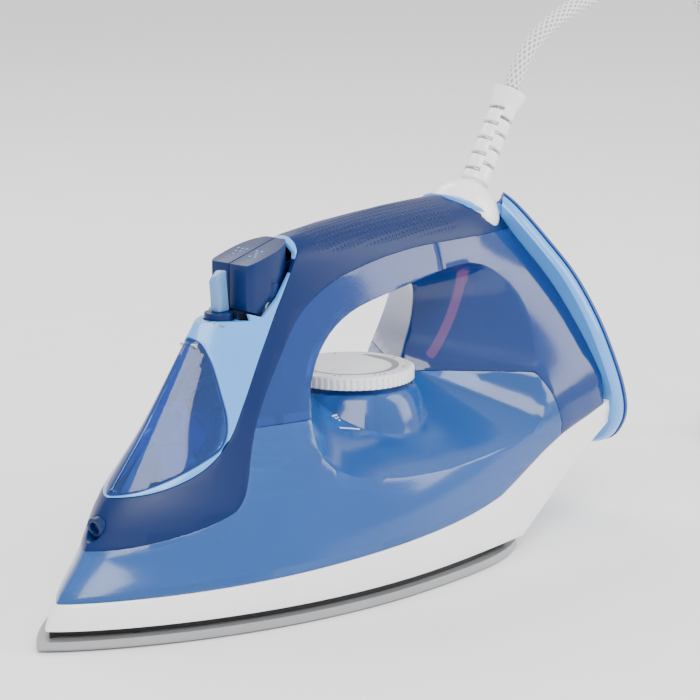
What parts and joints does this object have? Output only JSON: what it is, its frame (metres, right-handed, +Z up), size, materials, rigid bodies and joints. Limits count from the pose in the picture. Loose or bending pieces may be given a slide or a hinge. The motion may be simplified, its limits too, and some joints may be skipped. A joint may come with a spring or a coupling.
{
  "type": "steam iron",
  "caption": "Steam iron with pointed soleplate, see-through water tank, loop handle, temperature dial, steam lever, spray keys and swivelling mains cord.",
  "frame": {"origin": "on the ironing face, on the middle line, 145 mm behind the tip", "axes": "+Z up from the ironing face, +X from the tip to the heel, +Y to the iron's right-hand side seen from the tip"},
  "size_m": [0.5238, 0.1575, 0.2308],
  "materials": {
    "sole_metal": "ceramic-coated, satin",
    "cast_alloy": "as cast",
    "steel": "satin",
    "gasket_black": "matt",
    "white_plastic": "polished moulding",
    "grey_plastic": "fine texture",
    "tank_blue": "translucent, polished",
    "housing_blue": "translucent, polished",
    "deep_blue": "satin moulding",
    "light_blue": "polished moulding",
    "door_blue": "translucent, polished",
    "lever_blue": "translucent, polished",
    "rubber_seal": "matt",
    "brass": "plain",
    "lamp_red": "glowing",
    "cord_fabric": "braided sleeve",
    "lead_rubber": "matt"
  },
  "bodies": {
    "root": {"soleplate": "sole_metal", "sole_gasket": "gasket_black", "heating_block": "cast_alloy", "heating_element": "steel", "chamber_cover": "cast_alloy", "thermostat": "steel", "thermal_fuse": "brass", "skirt": "white_plastic", "skirt_floor": "white_plastic", "water_tank": "tank_blue", "filler_neck": "light_blue", "valve_seat": "rubber_seal", "rear_housing": "housing_blue", "handle_inner": "tank_blue", "handle_shell": "deep_blue", "front_panel": "light_blue", "spray_nozzle": "deep_blue", "door_seal": "rubber_seal", "spray_pump": "grey_plastic", "steam_pump": "grey_plastic", "spray_spring": "steel", "steam_spring": "steel", "spray_hose": "rubber_seal", "steam_hose": "rubber_seal", "dial_bush": "light_blue", "light_guide": "lamp_red", "indicator_lamp": "lamp_red", "heel_band": "light_blue", "heel_rim": "lever_blue", "heel_pad": "lever_blue", "terminal_block": "white_plastic", "cord_clamp": "grey_plastic", "power_leads": "lead_rubber", "cord_socket": "light_blue", "cord": "cord_fabric", "cord_coil": "cord_fabric", "cord_tie": "grey_plastic", "plug_body": "white_plastic", "plug_pins": "brass", "housing_screws": "steel"},
    "dial": {"temperature_dial": "white_plastic", "dial_plate": "grey_plastic", "dial_spindle": "steel"},
    "lever": {"steam_lever": "lever_blue", "lever_drum": "deep_blue", "lever_post": "grey_plastic"},
    "needle": {"dosing_needle": "steel"},
    "spray_key": {"spray_button": "deep_blue"},
    "steam_key": {"steam_button": "deep_blue"},
    "door": {"filling_door": "door_blue", "door_pin": "steel"},
    "swivel": {"cord_ball": "white_plastic", "cord_neck": "cord_fabric"},
    "guard": {"cord_guard": "white_plastic"}
  },
  "joints": [
    {"name": "dial_turn", "type": "hinge", "parent": "root", "child": "dial", "pos_m": [0.029, 0, 0.074], "axis": [0, 0, 1], "range_deg": [-120, 160]},
    {"name": "lever_turn", "type": "hinge", "parent": "root", "child": "lever", "pos_m": [-0.048, 0, 0.11], "axis": [0, 0, 1], "range_deg": [-35, 35]},
    {"name": "needle_lift", "type": "slide", "parent": "root", "child": "needle", "axis": [0, 0, 1], "range_m": [-0.001, 0.001]},
    {"name": "spray_press", "type": "slide", "parent": "root", "child": "spray_key", "axis": [0, 0, 1], "range_m": [-0.004, 0], "stiffness_N_per_m": 500, "springref_m": 0.003, "deforming": ["spray_spring"]},
    {"name": "steam_press", "type": "slide", "parent": "root", "child": "steam_key", "axis": [0, 0, 1], "range_m": [-0.004, 0], "stiffness_N_per_m": 500, "springref_m": 0.003, "deforming": ["steam_spring"]},
    {"name": "door_open", "type": "hinge", "parent": "root", "child": "door", "pos_m": [-0.0644, 0, 0.103], "axis": [0, 1, 0], "range_deg": [0, 75]},
    {"name": "cord_tilt", "type": "hinge", "parent": "root", "child": "swivel", "pos_m": [0.098, 0, 0.131], "axis": [0, 1, 0], "range_deg": [-38, 0]},
    {"name": "guard_spin", "type": "hinge", "parent": "swivel", "child": "guard", "pos_m": [0.098, 0, 0.131], "axis": [0.5446, 0, 0.8387], "range_deg": [-180, 180]}
  ],
  "couplings": [
    {"joint": "lever_turn", "follows": "needle_lift", "rad_per_m": 610.8}
  ]
}
